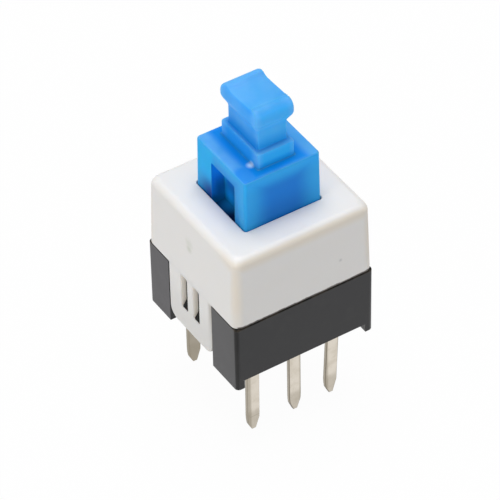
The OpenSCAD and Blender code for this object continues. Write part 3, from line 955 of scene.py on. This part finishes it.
@dataclass
class Cover:
    """The white cover: a drafted shell with an opening, and two snap tabs with windows."""

    half: float = 3.5
    seam: float = 3.52
    top: float = 7.19
    under: float = 6.39
    draft: float = 0.08
    wall: float = 0.6
    corner: float = 0.4
    rim: float = 0.36
    opening: float = 1.95
    tab_half: float = 1.68
    tab_shift: float = 0.13
    tab_low: float = 0.5
    tab_thick: float = 0.3
    tab_inset: float = 0.003
    tab_root: float = 0.08
    tab_corner: float = 0.55
    tab_edge: float = 0.05
    window: tuple[float, float, float, float] = (0.50, 0.44, 1.6, 3.46)
    window_shift: float = 0.04
    window_corner: float = 0.12
    window_edge: float = 0.03
    flare: float = 0.06
    flare_steps: int = 4
    overrun: float = 0.2
    edge: float = 0.04
    inner_edge: float = 0.1
    opening_corner: float = 0.14

    def shell(self) -> Piece:
        """Models the shell: its outside level by level, then the cavity and the opening.

        Returns:
            The shell in millimetres.
        """
        h, inner, gap = self.half, self.half - self.wall, self.opening
        small = h - self.draft
        rim = Bench.rounded(small, small, self.top, self.rim, self.rim)
        piece = Bench.stack("cover_shell", [(h, h, self.seam)] + rim, self.corner)
        cavity = Bench.block("cavity", (-inner, -inner, self.seam - 1), (inner, inner, self.under))
        Bench.soften(cavity, self.inner_edge)
        through = [(gap, gap, self.under - 1), (gap, gap, self.top + 1)]
        hole = Bench.stack("hole", through, self.opening_corner)
        Bench.cut(piece, [cavity, hole])
        return piece

    def tab(self, side: int) -> Piece:
        """Models one snap tab with its two windows.

        Args:
            side: 1 for the tab on +X, -1 for the one on -X.

        Returns:
            The tab in millimetres.
        """
        outer = self.half - self.tab_inset
        inner = outer - self.tab_thick
        y0, y1 = self.tab_shift - self.tab_half, self.tab_shift + self.tab_half
        low, high = sorted((side * inner, side * outer))
        top = self.seam + self.tab_root
        piece = Bench.block(f"tab_{side}", (low, y0, self.tab_low), (high, y1, top))
        with Bench.editing():
            Bench.edges(piece, lambda c, d: abs(d.x) > ALONG and c.z < self.tab_low + 0.01)
            Bench.bevel(self.tab_corner, Bench.edge_steps)
            Bench.edges(
                piece,
                lambda c, d: abs(abs(c.x) - outer) < 0.001 and abs(d.x) < 0.1 and c.z < self.seam,
            )
            Bench.bevel(self.tab_edge, 4)
        width, rib, z0, z1 = self.window
        cutters = []
        for k in (-1, 1):
            y = self.tab_shift + self.window_shift + k * (rib + width) / 2
            cutters.append(self.punch((side * inner, y, z0), (side * outer, width, z1), side))
        Bench.cut(piece, cutters)
        Bench.soften(piece, self.window_edge, 2, 50.0)
        return piece

    def punch(self, foot: Triple, top: Triple, side: int) -> Piece:
        """Models the form that cuts one window, flared where it leaves the tab.

        Args:
            foot: The tab's inner face, the window's middle along Y and its low edge.
            top: The tab's outer face, the window's width and its high edge.
            side: 1 for the tab on +X, -1 for the one on -X.

        Returns:
            The form in millimetres.
        """
        (inner, y, z0), (outer, width, z1) = foot, top
        low, high = sorted((inner - side * self.overrun, outer))
        piece = Bench.block("window", (low, y - width / 2, z0), (high, y + width / 2, z1))
        middle, tall = (0.0, y, (z0 + z1) / 2), z1 - z0
        with Bench.editing():
            Bench.edges(piece, lambda c, d: abs(d.x) > ALONG and c.z > z1 - 0.01)
            Bench.bevel(self.window_corner, Bench.corner_steps)
            Bench.faces(piece, lambda c, n: n.x * side > ALONG)
            bpy.ops.transform.translate(value=(-side * self.flare, 0.0, 0.0))
            last, last_turn = 0.0, 0.0
            for turn in Bench.quarter(self.flare_steps)[1:]:
                grow = self.flare * (1 - math.cos(turn)) * 2
                out = self.flare * (math.sin(turn) - math.sin(last_turn))
                Bench.extrude((side * out, 0.0, 0.0))
                Bench.stretch(
                    (1.0, (width + grow) / (width + last), (tall + grow) / (tall + last)), middle
                )
                last, last_turn = grow, turn
            Bench.extrude((side * self.overrun, 0.0, 0.0))
        return piece

    def build(self, finish: WhiteNylon) -> None:
        """Builds the cover in place of its solid.

        Args:
            finish: Its material.
        """
        piece = self.shell()
        Bench.soften(piece, self.edge)
        Bench.join(piece, [self.tab(side) for side in (-1, 1)])
        piece.name = "cover_moulding"
        Bench.finish(piece, finish.make(), Body.HOUSING, finish.slot, 40.0)
        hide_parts("cover")


@dataclass
class Plunger:
    """The blue plunger: its shaft, plinth, neck and head by hand, its inner body from the solid.

    The three steps on the shoulder are half sizes across X and along Y, and a height.
    """

    split: float = 6.62
    half: float = 1.915
    draft: float = 0.035
    corner: float = 0.15
    shoulder: float = 9.76
    plinth: Triple = (0.92, 1.44, 0.79)
    neck: Triple = (0.74, 1.15, 0.9)
    head: Triple = (0.965, 1.4, 1.24)
    flare: float = 0.62
    roll: float = 0.45
    edge: float = 0.1
    crown_corner: float = 0.14
    fillet: float = 0.07
    dip: float = 0.12
    slope: float = 0.06
    slope_run: float = 1.5
    lip: float = 0.4
    saddle_half: float = 1.0
    saddle_steps: int = 20
    recess: tuple[float, float, float, float] = (-1.1, 0.7, 0.65, 9.11)
    recess_edge: float = 0.05
    recess_rise: float = 0.2

    def shaft(self) -> Piece:
        """Models the shaft, with the recess in its left side.

        Returns:
            The shaft in millimetres.
        """
        h, top = self.half, self.half - self.draft
        rim = Bench.rounded(top, top, self.shoulder, self.edge, self.edge)
        piece = Bench.stack("shaft", [(h, h, self.split)] + rim, self.corner)
        y0, y1, deep, high = self.recess
        low = self.split + self.recess_rise
        cutter = Bench.block("recess", (-h - 1, y0, low), (-h + deep, y1, high))
        Bench.soften(cutter, self.recess_edge)
        Bench.cut(piece, [cutter])
        return piece

    def crown(self) -> Piece:
        """Models the plinth, the neck and the head with its saddle.

        Returns:
            The crown in millimetres.
        """
        piece = Bench.stack("crown", self.levels(), self.crown_corner)
        with Bench.editing():
            self.saddle(piece)
        return piece

    def levels(self) -> list[Triple]:
        """The outline's half sizes and heights from the plinth's foot up to the head's top.

        Returns:
            Half size across X, half size along Y and height of each level.
        """
        (px, py, pz), (nx, ny, nz), (hx, hy, hz) = self.plinth, self.neck, self.head
        plinth_z = self.shoulder + pz
        neck_z = plinth_z + nz
        head_z = neck_z + hz
        levels = [(px + self.fillet, py + self.fillet, self.shoulder - self.edge)]
        levels += self.foot(px, py, self.shoulder)
        levels += Bench.rounded(px, py, plinth_z, self.edge, self.edge)
        levels += self.foot(nx, ny, plinth_z)
        for turn in Bench.quarter(Bench.edge_steps):
            out, rise = (1 - math.cos(2 * turn)) / 2, turn / (math.pi / 2)
            levels.append((nx + (hx - nx) * out, ny + (hy - ny) * out, neck_z + self.flare * rise))
        return levels + Bench.rounded(hx, hy, head_z, self.edge, self.roll)

    def foot(self, x: float, y: float, low: float) -> list[Triple]:
        """Levels that hollow the foot of a step."""
        levels = []
        for turn in Bench.quarter(4):
            out, up = self.fillet * (1 - math.sin(turn)), self.fillet * (1 - math.cos(turn))
            levels.append((x + out, y + out, low + up))
        return levels

    def saddle(self, piece: Piece) -> None:
        """Sinks the middle of the head's top, so that a lip stays at each end."""
        low = self.shoulder + self.plinth[2] + self.neck[2] + self.flare
        pace = 2 * self.saddle_half / self.saddle_steps
        stations = [-self.saddle_half + pace * i for i in range(self.saddle_steps + 1)]
        for y in stations:
            Bench.faces(piece, lambda c, n: c.z > low + 0.02)
            bpy.ops.mesh.bisect(plane_co=(0, y, 0), plane_no=(0, 1, 0))
        for y in stations:
            fall = (self.dip - self.slope) * self.step((self.saddle_half / 2 - y) / self.slope_run)
            drop = self.dip * self.step((self.saddle_half - y) / self.lip) - fall
            Bench.points(piece, lambda c: abs(c.y - y) < 0.001 and c.z > low + 0.1)
            bpy.ops.transform.translate(value=(0.0, 0.0, -drop))

    @staticmethod
    def step(value: float) -> float:
        """A smooth step from 0 to 1."""
        held = min(max(value, 0.0), 1.0)
        return held * held * (3 - 2 * held)

    def body(self) -> Piece:
        """Takes the inner body, with its cam track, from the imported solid.

        Returns:
            The body in millimetres.
        """
        piece = Bench.copy_of("inner", bpy.data.objects["plunger"])
        with Bench.editing():
            Bench.part((0.0, 0.0, self.split), (0.0, 0.0, 1.0), clear=True)
        return piece

    def build(self, finish: BluePlastic) -> None:
        """Builds the plunger in place of its solid.

        Args:
            finish: Its material.
        """
        piece = self.shaft()
        Bench.join(piece, [self.crown(), self.body()])
        piece.name = "plunger_moulding"
        Bench.finish(piece, finish.make(), Body.BUTTON, finish.slot, 38.0)
        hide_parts("plunger")


@dataclass
class Base:
    """The black base, with softened edges on the form of its solid."""

    edge: float = 0.03

    def build(self, finish: BlackMoulding) -> None:
        """Builds the base in place of its solid.

        Args:
            finish: Its material.
        """
        piece = Bench.copy_of("base_moulding", bpy.data.objects["base"])
        Bench.soften(piece, self.edge, 2, 40.0)
        Bench.finish(piece, finish.make(), Body.HOUSING, finish.slot, 38.0)
        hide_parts("base")


@dataclass
class Terminals:
    """The six tinned terminals, with the soft edges that stamping and plating leave.

    A pin's cuts are how high each corner of its tip is cut off, on -X and on +X. Its bends are
    how far it stands aside along X, just below the base and at its tip.
    """

    rows: tuple[str, ...] = ("front", "rear")
    places: tuple[tuple[str, Span], ...] = (
        ("left", (0.42, 0.62)),
        ("common", (0.5, 0.56)),
        ("right", (0.45, 0.7)),
    )
    edge: float = 0.03
    pitch: float = 2.0
    half: float = 0.3
    tip: float = -3.72
    flat_tip: float = 0.1
    knee: float = 0.35
    bends: tuple[tuple[str, float, float], ...] = (
        ("front_left", -0.11, -0.13),
        ("front_common", 0.03, 0.03),
        ("front_right", 0.02, -0.09),
    )

    def bend(self, piece: Piece, root: float, tip: float) -> None:
        """Bends a pin a little to one side.

        Args:
            piece: The terminal.
            root: How far it moves along X just below the base.
            tip: How far it moves at its tip.
        """
        with Bench.editing():
            for height in (self.knee, -self.knee):
                Bench.part((0.0, 0.0, height), (0.0, 0.0, 1.0))
            for height, aside in ((0.01 - self.knee, root), (self.tip / 2, tip - root)):
                Bench.points(piece, lambda c: c.z < height)
                bpy.ops.transform.translate(value=(aside, 0.0, 0.0))

    def sharpen(self, piece: Piece, middle: float, cuts: Span) -> None:
        """Cuts the two corners off a pin's tip.

        Args:
            piece: The terminal.
            middle: The pin's middle along X.
            cuts: How high each cut reaches up its side, on -X and on +X.
        """
        with Bench.editing():
            for side, tall in zip((-1, 1), cuts):
                foot = (middle + side * self.half, 0.0, self.tip + tall)
                Bench.part(foot, (side * tall, 0.0, self.flat_tip - self.half), clear=True)

    def build(self, finish: TinPlate) -> None:
        """Builds each terminal in place of its solid.

        Args:
            finish: Their material.
        """
        material = finish.make()
        for row in self.rows:
            for i, (place, cuts) in enumerate(self.places):
                node = f"terminal_{row}_{place}"
                piece = Bench.copy_of(f"{node}_blade", bpy.data.objects[node])
                self.sharpen(piece, (i - 1) * self.pitch, cuts)
                for name, root, tip in self.bends:
                    if node.endswith(name):
                        self.bend(piece, root, tip)
                Bench.soften(piece, self.edge, 3, 50.0)
                Bench.finish(piece, material, Body.HOUSING, finish.slot, 40.0)
                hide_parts(node)


@dataclass
class ReturnSpring:
    """The coil spring in the plunger's bore; the real one shortens as the button goes down, this one
    rides on the button whole.
    """

    wire: float = 0.2
    outer: float = 1.74
    low: float = 1.07
    high: float = 6.44
    turns: int = 7
    wire_sides: int = 12
    turn_steps: int = 32
    travel: float = 2.0

    def build(self, finish: BareMetal) -> None:
        """Winds the spring in place of its solid.

        Args:
            finish: Its material.
        """
        Bench.clear()
        radius = (self.outer - self.wire) / 2
        bpy.ops.mesh.primitive_circle_add(
            vertices=self.wire_sides,
            radius=self.wire / 2,
            location=(radius, 0, self.low + self.wire / 2),
            rotation=(math.pi / 2, 0, 0),
        )
        piece = bpy.context.active_object
        piece.name = "return_spring_coil"
        bpy.ops.object.transform_apply(location=True, rotation=True, scale=True)
        pitch = (self.high - self.low - self.wire) / self.turns
        Bench.modify(
            piece,
            "SCREW",
            angle=2 * math.pi * self.turns,
            screw_offset=pitch * self.turns,
            steps=self.turns * self.turn_steps,
            render_steps=self.turns * self.turn_steps,
            axis="Z",
        )
        with Bench.editing():
            bpy.ops.mesh.select_all(action="SELECT")
            bpy.ops.mesh.remove_doubles(threshold=MERGE)
            bpy.ops.mesh.fill_holes(sides=self.wire_sides)
            bpy.ops.mesh.normals_make_consistent(inside=False)
        Bench.finish(piece, finish.make(), Body.BUTTON, finish.slot, 40.0)
        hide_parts("return_spring")
        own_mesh(piece)


@dataclass(frozen=True)
class Lamp:
    """A square soft lamp that faces the object, in metres and watts."""

    name: str
    place: Triple
    size: float
    power: float
    colour: Triple = (1.0, 0.99, 0.97)

    def hang(self) -> None:
        """Adds the lamp."""
        data = bpy.data.lights.new(self.name, "AREA")
        data.size, data.energy, data.color = self.size, self.power, self.colour
        lamp = bpy.data.objects.new(self.name, data)
        lamp.location = self.place
        lamp.rotation_euler = (-Vector(self.place)).to_track_quat("-Z", "Y").to_euler()
        bpy.context.scene.collection.objects.link(lamp)


@dataclass
class Studio:
    """Camera, floor, lamps and surroundings, in metres."""

    eye: Triple = (-0.06126612, -0.09697865, 0.10857123)
    right: Triple = (0.83909294, -0.54373162, -0.01670236)
    up: Triple = (0.3772355, 0.55948373, 0.73801852)
    back: Triple = (-0.39193931, -0.62556685, 0.67457371)
    focal_px: float = 3623.02
    frame_px: float = 500.0
    sensor: float = 36.0
    clip: Span = (0.01, 10.0)
    floor_z: float = -0.00373
    floor_size: float = 1.2
    floor_colour: Triple = (0.8, 0.8, 0.8)
    floor_rough: float = 0.9
    floor_white: float = 0.97
    white: Triple = (1.0, 1.0, 1.0)
    world_strength: Span = (0.3, 1.0)
    lamps: tuple[Lamp, ...] = (
        Lamp("top_lamp", (0.03, 0.06, 0.55), 0.35, 2.4, (0.97, 0.98, 1.0)),
        Lamp("left_lamp", (-0.45, -0.05, 0.12), 0.3, 0.72),
        Lamp("front_lamp", (0.12, -0.5, 0.16), 0.3, 0.22),
    )

    def camera(self) -> None:
        """Sets the camera."""
        data = bpy.data.cameras.new("camera")
        data.lens = self.focal_px / self.frame_px * self.sensor
        data.sensor_width = self.sensor
        data.clip_start, data.clip_end = self.clip
        camera = bpy.data.objects.new("camera", data)
        turn = Matrix((self.right, self.up, self.back)).transposed()
        camera.matrix_world = Matrix.Translation(self.eye) @ turn.to_4x4()
        bpy.context.scene.collection.objects.link(camera)
        bpy.context.scene.camera = camera

    def floor(self) -> None:
        """Adds the pale floor, which shows white to the camera and keeps a faint shadow."""
        Bench.clear()
        bpy.ops.mesh.primitive_plane_add(size=self.floor_size, location=(0, 0, self.floor_z))
        floor = bpy.context.active_object
        floor.name = "floor"
        bpy.ops.object.transform_apply(location=True, rotation=True, scale=True)
        g = Graph.of("floor_white")
        g.finish(Base_Color=self.floor_colour, Roughness=self.floor_rough)
        seen = g.ray("Is Camera Ray").most(g.ray("Is Glossy Ray"))
        seen = seen.most(g.ray("Is Transmission Ray")) * self.floor_white
        pale = Wire(g, g.shader.outputs[0])
        glow = g.node("ShaderNodeEmission", inputs={"Color": self.white, "Strength": 1.0})
        g.plug(g.surface, g.node("ShaderNodeMixShader", inputs={0: seen, 1: pale, 2: glow}))
        floor.data.materials.append(g.owner)

    def world(self) -> None:
        """Sets even surroundings that show white to the camera."""
        g = Graph(bpy.data.worlds.new("surroundings"))
        seen = g.ray("Is Camera Ray").most(g.ray("Is Transmission Ray"))
        g.finish(Color=self.white, Strength=seen.lift(*self.world_strength))
        bpy.context.scene.world = g.owner

    def build(self) -> None:
        """Sets the whole stage."""
        self.camera()
        self.floor()
        for lamp in self.lamps:
            lamp.hang()
        self.world()
        bpy.context.scene.view_settings.view_transform = "Standard"


def dress_inner_parts() -> None:
    """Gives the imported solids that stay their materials."""
    bronze = BareMetal(Slot.BRONZE, (0.72, 0.42, 0.22), (0.5, 0.27, 0.13)).make()
    steel = BareMetal(Slot.WIRE, (0.72, 0.73, 0.75), (0.5, 0.5, 0.5)).make()
    for node, material in (
        ("moving_contact_front", bronze),
        ("moving_contact_rear", bronze),
        ("latch_wire", steel),
    ):
        solid = bpy.data.objects[node]
        solid.data.materials.clear()
        solid.data.materials.append(material)
        LOG.info("%s dressed", node)


def main() -> None:
    """Builds every sub-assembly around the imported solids."""
    logging.basicConfig(level=logging.INFO, format="%(name)s: %(message)s")
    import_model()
    Studio().build()
    Base().build(BlackMoulding())
    Cover().build(WhiteNylon())
    Plunger().build(BluePlastic())
    Terminals().build(TinPlate())
    ReturnSpring().build(BareMetal(Slot.SPRING, (0.70, 0.71, 0.73), (0.5, 0.5, 0.5)))
    dress_inner_parts()


if __name__ == "__main__":
    main()
